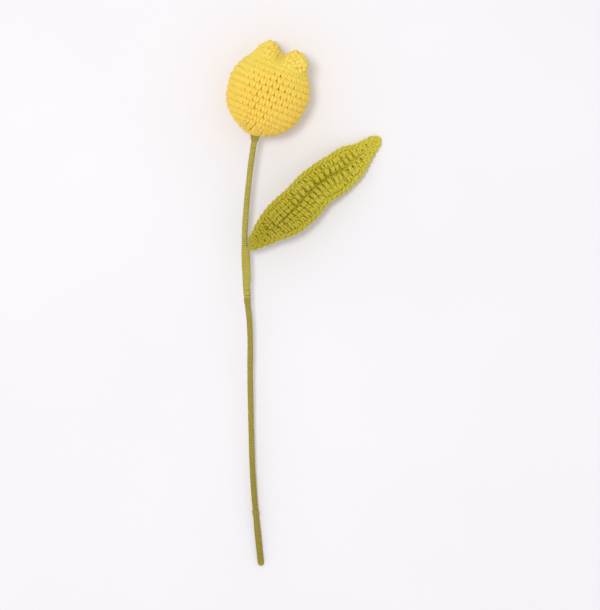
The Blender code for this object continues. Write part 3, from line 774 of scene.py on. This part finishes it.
def make_closing(cloth, tree, finish):
    """The bloom's last yarn: sewn over the four crests, and crossed over the middle of the mouth."""
    turn, origin = bloom_matrix()
    routes = [whip_stitches(cloth, lobe) for lobe in range(4)]
    centre = np.array([0.0, MOUTH_SHIFT, MOUTH - MOUTH_SINK - 0.6])
    for first in (0, 1):  # two short bows, the second one over the first
        cross = []
        for share in np.linspace(-1, 1, 9):
            angle = math.tau * (1 / 8 + first / 4) + math.radians(LOBE_TURN)
            out = np.array([math.cos(angle), math.sin(angle), 0.0])
            cross.append(centre + out * share * 4.4 + (0, 0, (1.2 + 0.8 * first) - 3.4 * abs(share) ** 2.5))
        routes.append(cross)
    routes = [smooth_route(route, SPACING) @ turn.T + origin for route in routes]
    return yarn_piece("closing_yarn", routes, tree, YARN, finish)


def make_stuffing(finish):
    """The fibre inside the bloom, a little lumpy, pressed against the back of the fabric."""
    turn, origin = bloom_matrix()
    around = 96
    room = 5.8  # between the fabric's outside and the fibre
    rings = []
    for height, radius in spline(PROFILE, 44)[1:]:
        pinch = pinched_share(height)
        waist = (1 - pinch) * radius + pinch * LOBE_HALF - room
        if waist > 2.0 and height < 20.0 and height > POLE + 2.5:
            rings.append((max(height, POLE + room), waist))
    first, last = rings[0], rings[-1]
    # both ends are closed in a little, so that they are round
    rings.insert(0, (first[0] - 0.4, first[1] * 0.5))
    rings += [(last[0] + 1.0, last[1] * 0.72), (last[0] + 1.5, last[1] * 0.3)]
    points = []
    for height, radius in rings:
        for angle in np.arange(around) * math.tau / around:
            spot = Vector((radius * math.cos(angle), radius * math.sin(angle), height))
            lump = noise.noise(spot * 0.22) * 0.7 + noise.noise(spot * 0.6 + Vector((9, 4, 2))) * 0.35 - 0.3
            inward = Vector((math.cos(angle), math.sin(angle), 0.0))
            points.append(spot + inward * lump * min(1.0, radius / 6))
    faces = []
    for i in range(len(rings) - 1):
        for j in range(around):
            a, b = i * around + j, i * around + (j + 1) % around
            faces.append((a, b, b + around, a + around))
    faces.append(tuple(range(around))[::-1])
    faces.append(tuple(range((len(rings) - 1) * around, len(rings) * around)))
    mesh = bpy.data.meshes.new("stuffing")
    mesh.from_pydata((np.array([tuple(p) for p in points]) @ turn.T + origin) * MM, [], faces)
    mesh.shade_smooth()
    mesh.materials.append(finish)
    return mesh_piece("stuffing", mesh)


# ---------------------------------------------------------------- the stem


class Line:
    """A centre line to wind thread round."""

    def __init__(self, route):
        self.route = np.asarray(route, float)
        self.along = lengths(self.route)
        self.length = self.along[-1]

    def at(self, d):
        """Points, level directions to the right and directions up, at distances along the line."""
        d = np.atleast_1d(np.asarray(d, float))
        read = lambda x: np.column_stack([np.interp(x, self.along, self.route[:, k]) for k in range(3)])
        inside = np.clip(d, 1, self.length - 1)
        forward = read(inside - 1) - read(inside + 1)
        forward /= np.linalg.norm(forward, axis=1, keepdims=True)
        beyond = (np.clip(d, 0, self.length) - d)[:, None]
        right = np.cross(forward, (0.0, 0.0, 1.0))
        right /= np.linalg.norm(right, axis=1, keepdims=True)
        return read(d) + forward * beyond, right, np.cross(right, forward)

    def beside(self, d, aside):
        """The point at a distance along the line and one beside it."""
        point, right, _ = self.at(d)
        return point[0] + right[0] * aside


def stem_line():
    """The stem's centre line, which falls evenly from the bloom to the foot."""
    plan = spline(STEM_PLAN, 640)
    share = lengths(plan) / lengths(plan)[-1]
    return Line(np.column_stack([plan, STEM_TOP_HEIGHT + (STEM_FOOT_HEIGHT - STEM_TOP_HEIGHT) * share]))


def leaf_wire_start():
    """Two points of the leaf's wire, inside the blade and where it leaves it."""
    line = spline(LEAF_MIDRIB, 200)
    return line[9], line[0]


def wound(stem, d, half_width, half_height, pitch, thread, aside=0.0, seed=1, start=0.0):
    """Thread wound in close turns over a line, at distances d from its start.

    Its two ends are tucked in, each over one turn.
    """
    rng = np.random.default_rng(seed)
    d, half_width, half_height = np.broadcast_arrays(np.asarray(d, float), half_width, half_height)
    surface = np.concatenate([[0], np.cumsum(np.hypot(np.diff(d), np.diff(half_height)))])
    length = surface[-1]
    turns = length / abs(pitch)
    s = np.linspace(0, length, int(turns * 14))

    def drift(count, size):
        return np.interp(s, np.linspace(0, length, count), rng.normal(0, size, count))

    angle = math.tau * (s / pitch + drift(max(4, int(turns)), 0.07)) + start
    near_end = np.minimum(s, length - s) / abs(pitch)
    tucked = thread * (0.5 + 0.7 * np.clip(1 - near_end, 0, 1) ** 2)
    swell = 1 + drift(int(turns) + 3, 0.02)
    along = np.interp(s, surface, d)
    across = np.maximum(np.interp(s, surface, half_width) - tucked, 0) * swell
    above = np.maximum(np.interp(s, surface, half_height) - tucked, 0) * swell
    beside = np.interp(along, d, np.broadcast_to(aside, d.shape)) + across * np.cos(angle)
    point, right, up = stem.at(along)
    return point + right * beside[:, None] + up * (above * np.sin(angle))[:, None]


def make_stem(tree, green, olive, bloom_shadow_green):
    """The six windings, each as (piece, the node that it replaces)."""
    stem = stem_line()
    pieces = []

    def winding(name, replaced, routes, thread, finish):
        routes = [smooth_route(route, 0.75) for route in routes]
        piece = yarn_piece(name, routes, tree, thread, finish, depth=THREAD_DEPTH, turns=THREAD_TURNS)
        pieces.append((piece, replaced))

    # the collar's thread is the stem's green with the bloom's shadow painted in
    d = np.linspace(-1.2, COLLAR_END + 0.4, 20)
    size = COLLAR_RADIUS - COLLAR_TAPER * d
    route = wound(stem, d, size, size, pitch=1.15, thread=1.45, seed=21)
    winding("collar_thread", "collar_winding", [route], 1.45, bloom_shadow_green)

    d = np.linspace(COLLAR_END - 1.0, UPPER_END + 0.6, 140)
    size = UPPER_RADIUS + 0.03 * np.sin(d * 0.35) + 0.02 * np.sin(d * 0.9)  # never quite even
    route = wound(stem, d, size, size, pitch=1.2, thread=1.3, seed=22)
    winding("upper_stem_thread", "upper_stem_winding", [route], 1.3, green)

    d = np.linspace(UPPER_END - 0.6, JOINT_END + 0.3, 120)
    joined = eased((d - UPPER_END) / 8.0)  # where the leaf's wire comes in
    swell = eased((LEAF_WIRE_END - d) / 4.5)
    wide = LOWER_RADIUS + (JOINT_HALF[0] - LOWER_RADIUS) * (0.55 + 0.45 * swell) + 0.04 * np.sin(d * 0.7)
    wide = UPPER_RADIUS + (wide - UPPER_RADIUS) * joined
    high = UPPER_RADIUS + (JOINT_HALF[1] - UPPER_RADIUS) * swell * joined
    aside = LEAF_WIRE_ASIDE / 2 * joined * (0.3 + 0.7 * swell)
    route = wound(stem, d, wide, high, pitch=1.25, thread=1.35, aside=aside, seed=23)
    # a second winding over the leaf's wire, from the blade into the joint
    stalk = spline([*leaf_wire_start(), *(stem.beside(x, LEAF_WIRE_ASIDE) for x in (82.0, 86.0))], 60)
    over_wire = wound(Line(stalk), np.linspace(-1.0, 11.5, 40), 1.9, 1.7, pitch=1.2, thread=1.35, seed=28)
    winding("joint_thread", "joint_winding", [route, over_wire], 1.35, green)

    d = np.linspace(JOINT_END - 1.2, LOWER_END + 0.6, 260)
    size = LOWER_RADIUS + 0.4 * (1 - eased((d - JOINT_END) / 7.0))  # it starts over the joint's end
    size = size + 0.025 * np.sin(d * 0.21) + 0.015 * np.sin(d * 0.77)
    route = wound(stem, d, size, size, pitch=1.1, thread=1.2, seed=24)
    winding("lower_stem_thread", "lower_stem_winding", [route], 1.2, olive)

    d = np.linspace(LOWER_END - 0.6, KNOT_END + 0.6, 30)
    bulge = np.sin(math.pi * np.clip((d - LOWER_END) / (KNOT_END - LOWER_END), 0, 1)) ** 1.5
    size = LOWER_RADIUS + (KNOT_RADIUS - LOWER_RADIUS) * bulge
    route = wound(stem, d, size, size, pitch=1.0, thread=1.15, seed=25)
    outer = size[6:-6] + 0.2
    over = wound(stem, d[6:-6], outer, outer, pitch=-1.9, thread=1.05, seed=26, start=1.0)
    winding("knot_thread", "winding_knot", [route, over], 1.1, olive)

    foot_end = stem.length - FOOT_HALF[1]
    d = np.linspace(KNOT_END - 0.6, foot_end, 80)
    swell = eased((d - KNOT_END) / 8.0)
    wide = LOWER_RADIUS + (FOOT_HALF[0] - LOWER_RADIUS) * swell
    high = LOWER_RADIUS + (FOOT_HALF[1] - LOWER_RADIUS) * swell
    bend = np.linspace(0.1, 1.5, 14)  # round the wire's fold, where the winding closes
    d = np.concatenate([d, foot_end + np.sin(bend) * FOOT_HALF[1] * 0.95])
    closing = 0.25 + 0.75 * np.cos(bend)
    wide = np.concatenate([wide, wide[-1] * closing])
    high = np.concatenate([high, high[-1] * closing])
    route = wound(stem, d, wide, high, pitch=1.05, thread=1.15, seed=27)
    winding("foot_thread", "foot_winding", [route], 1.15, olive)
    return pieces


# ---------------------------------------------------------------- the leaf

# The top of the leaf's inner stitches: along its front, and back along its other side.
TOP = [
    (0.28, 1.00, 0.05, 0.88), (0.55, 1.00, 0.28, 0.88), (0.86, 0.98, 0.00, 0.88),
    (1.04, 1.00, -0.38, 1.1), (0.86, 1.03, -0.66, 1.3), (0.46, 1.04, -0.76, 1.3),
]

# A taller stitch: the yarn is wound once more round the post before the top is closed.
TALL_STITCH = np.array([
    (-0.84, 0.98, -0.62, 1.3), (-0.60, 0.88, -0.85, 1.5), (-0.50, 0.62, -0.90, 1.7),
    (-0.48, 0.32, -0.90, 1.7), (-0.40, 0.06, -0.85, 1.5),
    (-0.16, -0.04, -0.66, 1.0), (-0.06, -0.10, -0.20, 0.85),
    *legs([
        (-0.08, -0.06, 0.32, 0.85), (-0.12, 0.10, 0.80, 0.98), (-0.13, 0.32, 1.05, 1.05),
        (-0.13, 0.58, 1.05, 1.05), (-0.14, 0.82, 0.72, 0.95), (-0.12, 0.97, 0.10, 0.82),
    ], (0.00, 1.03, -0.16, 0.78)),
    (0.06, -0.11, -0.18, 0.85), (0.18, 0.02, -0.66, 1.0), (0.40, 0.14, -0.70, 1.0),
    # round the post, in front of it and behind
    (0.36, 0.22, 0.10, 0.9), (0.20, 0.34, 1.15, 0.95), (-0.02, 0.50, 1.55, 1.0), (-0.22, 0.66, 1.15, 0.95),
    (-0.36, 0.76, 0.10, 0.9), (-0.30, 0.66, -0.60, 1.2), (-0.05, 0.42, -0.80, 1.4), (0.22, 0.40, -0.80, 1.4),
    (0.28, 0.68, -0.80, 1.4), (0.16, 0.95, -0.34, 0.95),
    *TOP,
])

# Two short stitches, one on the other, that stand where a tall one would.
SHORT_STITCHES = np.array([
    (-0.84, 0.98, -0.62, 1.3), (-0.60, 0.88, -0.85, 1.5), (-0.50, 0.62, -0.90, 1.9),
    (-0.48, 0.32, -0.90, 1.9), (-0.40, 0.06, -0.85, 1.5),
    (-0.14, -0.04, -0.60, 1.0), (-0.05, -0.10, -0.10, 0.8),
    *legs([
        (-0.09, 0.02, 0.55, 0.9), (-0.18, 0.20, 1.05, 1.12), (-0.20, 0.38, 0.95, 1.05),
        (-0.10, 0.50, 0.35, 0.8), (-0.13, 0.58, 0.60, 0.88), (-0.22, 0.72, 1.10, 1.12),
        (-0.22, 0.87, 0.80, 1.0), (-0.12, 0.99, 0.05, 0.8),
    ], (0.00, 1.03, -0.20, 0.78)),
    (0.06, -0.10, -0.18, 0.85), (0.12, 0.14, -0.72, 1.3), (0.04, 0.44, -0.85, 1.8), (0.06, 0.74, -0.80, 1.7),
    (0.14, 0.95, -0.34, 1.0),
    *TOP,
])

# The outer row's stitch: its two legs stand apart.
WIDE_STITCH = np.array([
    (-0.84, 0.96, -0.58, 1.2), (-0.60, 0.84, -0.80, 1.4), (-0.50, 0.56, -0.85, 1.6),
    (-0.47, 0.26, -0.85, 1.6), (-0.36, 0.04, -0.80, 1.3), (-0.12, -0.06, -0.64, 1.0),
    (-0.05, -0.12, -0.30, 0.85), (-0.09, -0.06, 0.20, 0.85), (-0.16, 0.12, 0.72, 0.98),
    (-0.21, 0.36, 1.05, 1.08), (-0.24, 0.60, 1.08, 1.1), (-0.25, 0.82, 0.76, 1.0),
    (-0.18, 0.97, 0.10, 0.82), (0.00, 1.00, -0.30, 0.8), (0.18, 0.97, 0.10, 0.82), (0.24, 0.82, 0.70, 1.0),
    (0.23, 0.60, 1.00, 1.1), (0.20, 0.36, 0.98, 1.08), (0.14, 0.12, 0.70, 0.98), (0.08, -0.08, 0.15, 0.85),
    (0.10, -0.06, -0.50, 0.9), (0.10, 0.24, -0.80, 1.4), (0.02, 0.58, -0.80, 1.7),
    (0.06, 0.86, -0.66, 1.6), (0.24, 0.98, 0.00, 1.0), (0.54, 1.00, 0.44, 1.0), (0.84, 0.98, 0.16, 0.95),
    (1.02, 1.00, -0.34, 1.05), (0.84, 1.03, -0.66, 1.2), (0.46, 1.04, -0.76, 1.2),
])

# One side of a link of chain, from its start: (links forward, thicknesses aside, thicknesses out, fullness).
LINK_SIDE = [
    (-0.04, 0.06, -0.50, 1.0), (0.10, 0.14, 0.40, 0.9), (0.36, 0.40, 0.78, 1.05), (0.68, 0.58, 0.66, 1.08),
    (0.98, 0.50, 0.16, 1.0), (1.18, 0.22, -0.52, 0.9),
]
LINK = np.array([
    *LINK_SIDE,
    *((forward, -aside, *rest) for forward, aside, *rest in LINK_SIDE[::-1]),
    (0.16, -0.04, -0.75, 1.2), (0.50, 0.00, -0.40, 1.5), (0.82, 0.04, -0.65, 1.2),  # on to the next link
])


def chain_along(line, out, link, thickness, seed):
    """The yarn's route through a chain along a line. out points away from the fabric at each point."""
    rng = np.random.default_rng(seed)
    along = lengths(line)
    count = max(1, round(along[-1] / link) - 1)
    link = along[-1] / (count + 1)
    ahead = np.gradient(line, along, axis=0)
    aside = np.cross(out, ahead)
    aside /= np.linalg.norm(aside, axis=1, keepdims=True)
    s = ((np.arange(count)[:, None] + LINK[:, 0][None, :]) * link).ravel()
    wobble = 1 + 0.06 * rng.standard_normal((count, 1))
    sideways = (LINK[:, 1][None, :] * wobble).ravel() * thickness
    outwards = (LINK[:, 2][None, :] + 0.05 * rng.standard_normal((count, 1))).ravel() * thickness
    read = lambda field: np.column_stack([np.interp(s, along, field[:, k]) for k in range(3)])
    route = read(line) + read(aside) * sideways[:, None] + read(out) * outwards[:, None]
    return np.column_stack([route, np.tile(LINK[:, 3], count)])


class Leaf:
    """The leaf's midrib, with the directions towards its lower edge and up at every station."""

    def __init__(self, stations=200):
        share = np.linspace(0, 1, stations)
        line = spline(LEAF_MIDRIB, stations)
        self.share, self.line = share, line
        ahead = np.gradient(line, axis=0)
        ahead /= np.linalg.norm(ahead, axis=1, keepdims=True)
        self.lower = np.cross(ahead, (0.0, 0.0, 1.0))
        self.lower /= np.linalg.norm(self.lower, axis=1, keepdims=True)
        self.up = np.cross(self.lower, ahead)

    def resampled(self, field, count=300):
        """The midrib's points or directions at evenly spread shares of its length."""
        share = np.linspace(0, 1, count)
        return np.column_stack([np.interp(share, self.share, field[:, k]) for k in range(3)])

    def grid(self, side, across):
        """Points of the fabric's middle layer at shares of the half width. side is -1 towards the bloom."""
        width = reading(LEAF_UPPER_EDGE if side < 0 else LEAF_LOWER_EDGE, self.share) - EDGE_ROOM
        ends = eased(self.share / 0.12) * (1 - 0.6 * eased((self.share - 0.8) / 0.2))
        groove = LEAF_GROOVE * reading(GROOVE_SHARE, self.share)
        rows = []
        for a in across:
            aside = a * width
            lift = LEAF_CUP * aside * ends + groove * (1 - np.exp(-((aside / GROOVE_HALF) ** 2)))
            lift = lift + LEAF_WAVE * a * a * np.sin(self.share * 23 + (0.0 if side < 0 else 1.9)) * ends
            rows.append(self.line + self.lower * (side * aside)[:, None] + self.up * lift[:, None])
        return np.array(rows)

    def half(self, side):
        """One half as a cloth that is worked outwards from the midrib, seen from above."""
        across = np.linspace(0, 1.1, 23)
        grid = self.grid(side, across)
        return Cloth(grid if side < 0 else grid[:, ::-1], closed=False, along=across)


def leaf_plan(seed):
    """Both rows of one half of the leaf, as stitch_plan gives a spiral's."""
    rng = np.random.default_rng(seed)
    step = 0.965 / LEAF_STITCHES  # the rows end a little short of the leaf's two ends
    rows = []
    for row in (0, 1):
        for k in range(LEAF_STITCHES):
            top = -0.985 + (k + 0.5) * step + 0.08 * step * rng.standard_normal()
            hole = top - 0.15 * step + 0.04 * step * rng.standard_normal()
            rows.append((top, hole, row + 1.0, float(row), step))
    return np.array(rows)


def leaf_place(level, turn):
    """Share of the half width at which a row lies. The inner row is narrower near the leaf's ends."""
    share = np.clip(-turn, 0, 1)
    first = ROW_TOPS[0] + ROW_WIDENED * np.minimum(eased(share / 0.16), eased((1 - share) / 0.2))
    below = ROW_START + (first - ROW_START) * level
    above = first + (ROW_TOPS[1] - first) * (level - 1)
    return np.where(level < 1, below, above)


def make_leaf(tree, finish):
    """The leaf's two halves, and the chain along its edge and its midrib, as three pieces."""
    leaf = Leaf()
    pieces = []

    def worked(name, routes, thickness):
        routes = [smooth_route(route, SPACING) for route in routes]
        for route in routes:
            route[:, 2] = np.maximum(route[:, 2], LEAF_RESTING_HEIGHT)
        pieces.append(yarn_piece(name, routes, tree, thickness, finish))

    for side, name in ((-1, "leaf_upper_half"), (1, "leaf_lower_half")):
        cloth = leaf.half(side)
        plan = leaf_plan(40 + side)
        inner, outer = plan[:LEAF_STITCHES], plan[LEAF_STITCHES:]
        share = -inner[:, 0] if side < 0 else 1 + inner[:, 0]
        tall = (share > TALL_FROM[0 if side < 0 else 1]) & (share < TALL_UNTIL)
        runs = np.split(np.arange(LEAF_STITCHES), np.flatnonzero(np.diff(tall)) + 1)
        row = []
        for k, run in enumerate(runs):
            stitch = TALL_STITCH if tall[run[0]] else SHORT_STITCHES
            seed = 57 + side + 5 * k
            row.append(work_stitches(cloth, inner[run], leaf_place, LEAF_YARN_PRESSED, seed, stitch, 2.2))
        edge = work_stitches(cloth, outer, leaf_place, LEAF_YARN_PRESSED, 61 + side, WIDE_STITCH, 2.0)
        worked(name, [np.vstack(row), edge], LEAF_YARN)

    lower = leaf.grid(1, [1.0])[0]
    upper = leaf.grid(-1, [1.0])[0]
    back = np.cross(leaf.up[0], leaf.lower[0])
    back *= np.sign(back @ (leaf.line[0] - leaf.line[1]))
    corner = leaf.line[0] + back * LEAF_BASE[0] + leaf.lower[0] * LEAF_BASE[1]
    # once round the leaf, from the corner at its base
    rim = np.vstack([corner, lower, upper[::-1][1:], corner])
    away = np.vstack([back, leaf.lower, -leaf.lower[::-1][1:], back])
    above = np.vstack([leaf.up[0], leaf.up, leaf.up[::-1][1:], leaf.up[0]])
    out = 0.62 * away + 0.78 * above
    even = evenly(np.hstack([rim - 0.35 * away, out]), 500)
    edge = chain_along(even[:, :3], even[:, 3:], EDGE_LINK, LEAF_YARN_PRESSED, 71)
    midrib, up = leaf.resampled(leaf.line), leaf.resampled(leaf.up)
    rib = chain_along(midrib, up, RIB_LINK, LEAF_YARN_PRESSED * 0.95, 72)
    worked("leaf_edge_and_midrib", [edge, rib], LEAF_YARN * 0.95)
    return pieces


# ---------------------------------------------------------------- the studio


def floor_material():
    """Matt white paper, faintly mottled."""
    made, tree, shader = new_material("floor_paper")
    place = node(tree, "ShaderNodeTexCoord").outputs["Object"]
    pale = mixed(tree, noisy(tree, place, 6.0, 2.0), colour(236, 233, 238), colour(242, 240, 243))
    tree.links.new(pale, shader.inputs["Base Color"])
    shader.inputs["Roughness"].default_value = 0.9
    shader.inputs["Specular IOR Level"].default_value = 0.1
    return made


def make_studio():
    """A pale floor, soft light from all sides, one lamp and the camera straight above."""
    bpy.ops.mesh.primitive_plane_add(size=3, location=(0, 0, 0))
    floor = bpy.context.object
    floor.name = "floor"
    floor.data.materials.append(floor_material())

    world = bpy.data.worlds.new("studio")
    bpy.context.scene.world = world
    world.use_nodes = True
    sky = world.node_tree.nodes["Background"].inputs
    sky["Color"].default_value = (1, 1, 1, 1)
    sky["Strength"].default_value = 0.75
    light = bpy.data.lights.new("window", "AREA")
    light.shape = "DISK"
    light.size = 0.35
    light.energy = 11.0
    lamp = bpy.data.objects.new("window", light)
    lamp.location = (-0.26, 0.20, 1.7)
    lamp.rotation_euler = (-lamp.location).to_track_quat("-Z", "Y").to_euler()
    bpy.context.scene.collection.objects.link(lamp)

    camera = bpy.data.cameras.new("camera")
    camera.lens = 210.8
    camera.sensor_width = 36
    camera.clip_end = 20
    eye = bpy.data.objects.new("camera", camera)
    eye.location = (-0.0028, -0.0014, 2.5)
    bpy.context.scene.collection.objects.link(eye)
    bpy.context.scene.camera = eye
    bpy.context.scene.view_settings.view_transform = "Standard"


def main():
    tree = yarn_tree()
    spun = spun_group()

    def thread_material(name, *shades, **more):
        return yarn_material(name, spun, *shades, plies=3, turns=THREAD_TURNS, **more)

    turn, origin = bloom_matrix()
    axis = turn[:, 2]
    # painted shade: warmer and darker from 18 mm above the bloom's middle, over 50 mm down to its base
    bloom_shade_to_base = tint_along((255, 240, 236), (origin + axis * 18.0) * MM, -axis, 0.05)
    shades = (255, 221, 94), (255, 200, 64), (255, 229, 120)
    yellow = yarn_material("bloom_yarn", spun, *shades, sheen=0.4, glow=0.4, warm=bloom_shade_to_base)
    # painted shade: darker from the leaf's tip down to its base, over 117 mm
    leaf_shade_to_base = tint_along((216, 213, 200), np.array(LEAF_MIDRIB[-1]) * MM, (-0.77, -0.63, 0.1), 0.117)
    shades = (223, 210, 46), (112, 98, 2), (238, 225, 110)
    leaf_green = yarn_material("leaf_yarn", spun, *shades, sheen=0.18, warm=leaf_shade_to_base)
    stem_green = thread_material("upper_stem_thread", (196, 182, 82), (140, 126, 40), (210, 198, 104))
    to_foot = colour(245, 238, 236), (0.0, -28.6, 0.0), 2.74  # darker from y = -96 mm on, over 35 mm
    shades = (180, 166, 72), (124, 112, 34), (196, 183, 92)
    foot_green = thread_material("lower_stem_thread", *shades, warm=to_foot)
    # painted shadow of the bloom: the stem's thread in a darker copy of its green
    collar_shaded_green = thread_material("collar_thread", (168, 152, 60), (118, 106, 26), (186, 172, 78))

    cloth = bloom_cloth()
    bloom = make_bloom(cloth, tree, yellow)
    closing = make_closing(cloth, tree, yellow)
    stuffing = make_stuffing(stuffing_material())
    windings = make_stem(tree, stem_green, foot_green, collar_shaded_green)
    leaf = make_leaf(tree, leaf_green)

    for piece in bloom:
        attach(piece, BODY)
    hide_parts("bloom_cover")
    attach(closing, BODY)
    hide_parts("closing_stitch")
    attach(stuffing, BODY)
    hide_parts("bloom_filling")
    for piece, replaced in windings:
        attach(piece, BODY)
        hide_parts(replaced)
    for piece in leaf:
        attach(piece, BODY)
    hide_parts("leaf_blade")

    steel = steel_material()
    for name in ("stem_wire", "leaf_wire"):
        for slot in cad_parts[name].material_slots:
            slot.material = steel
    make_studio()


main()
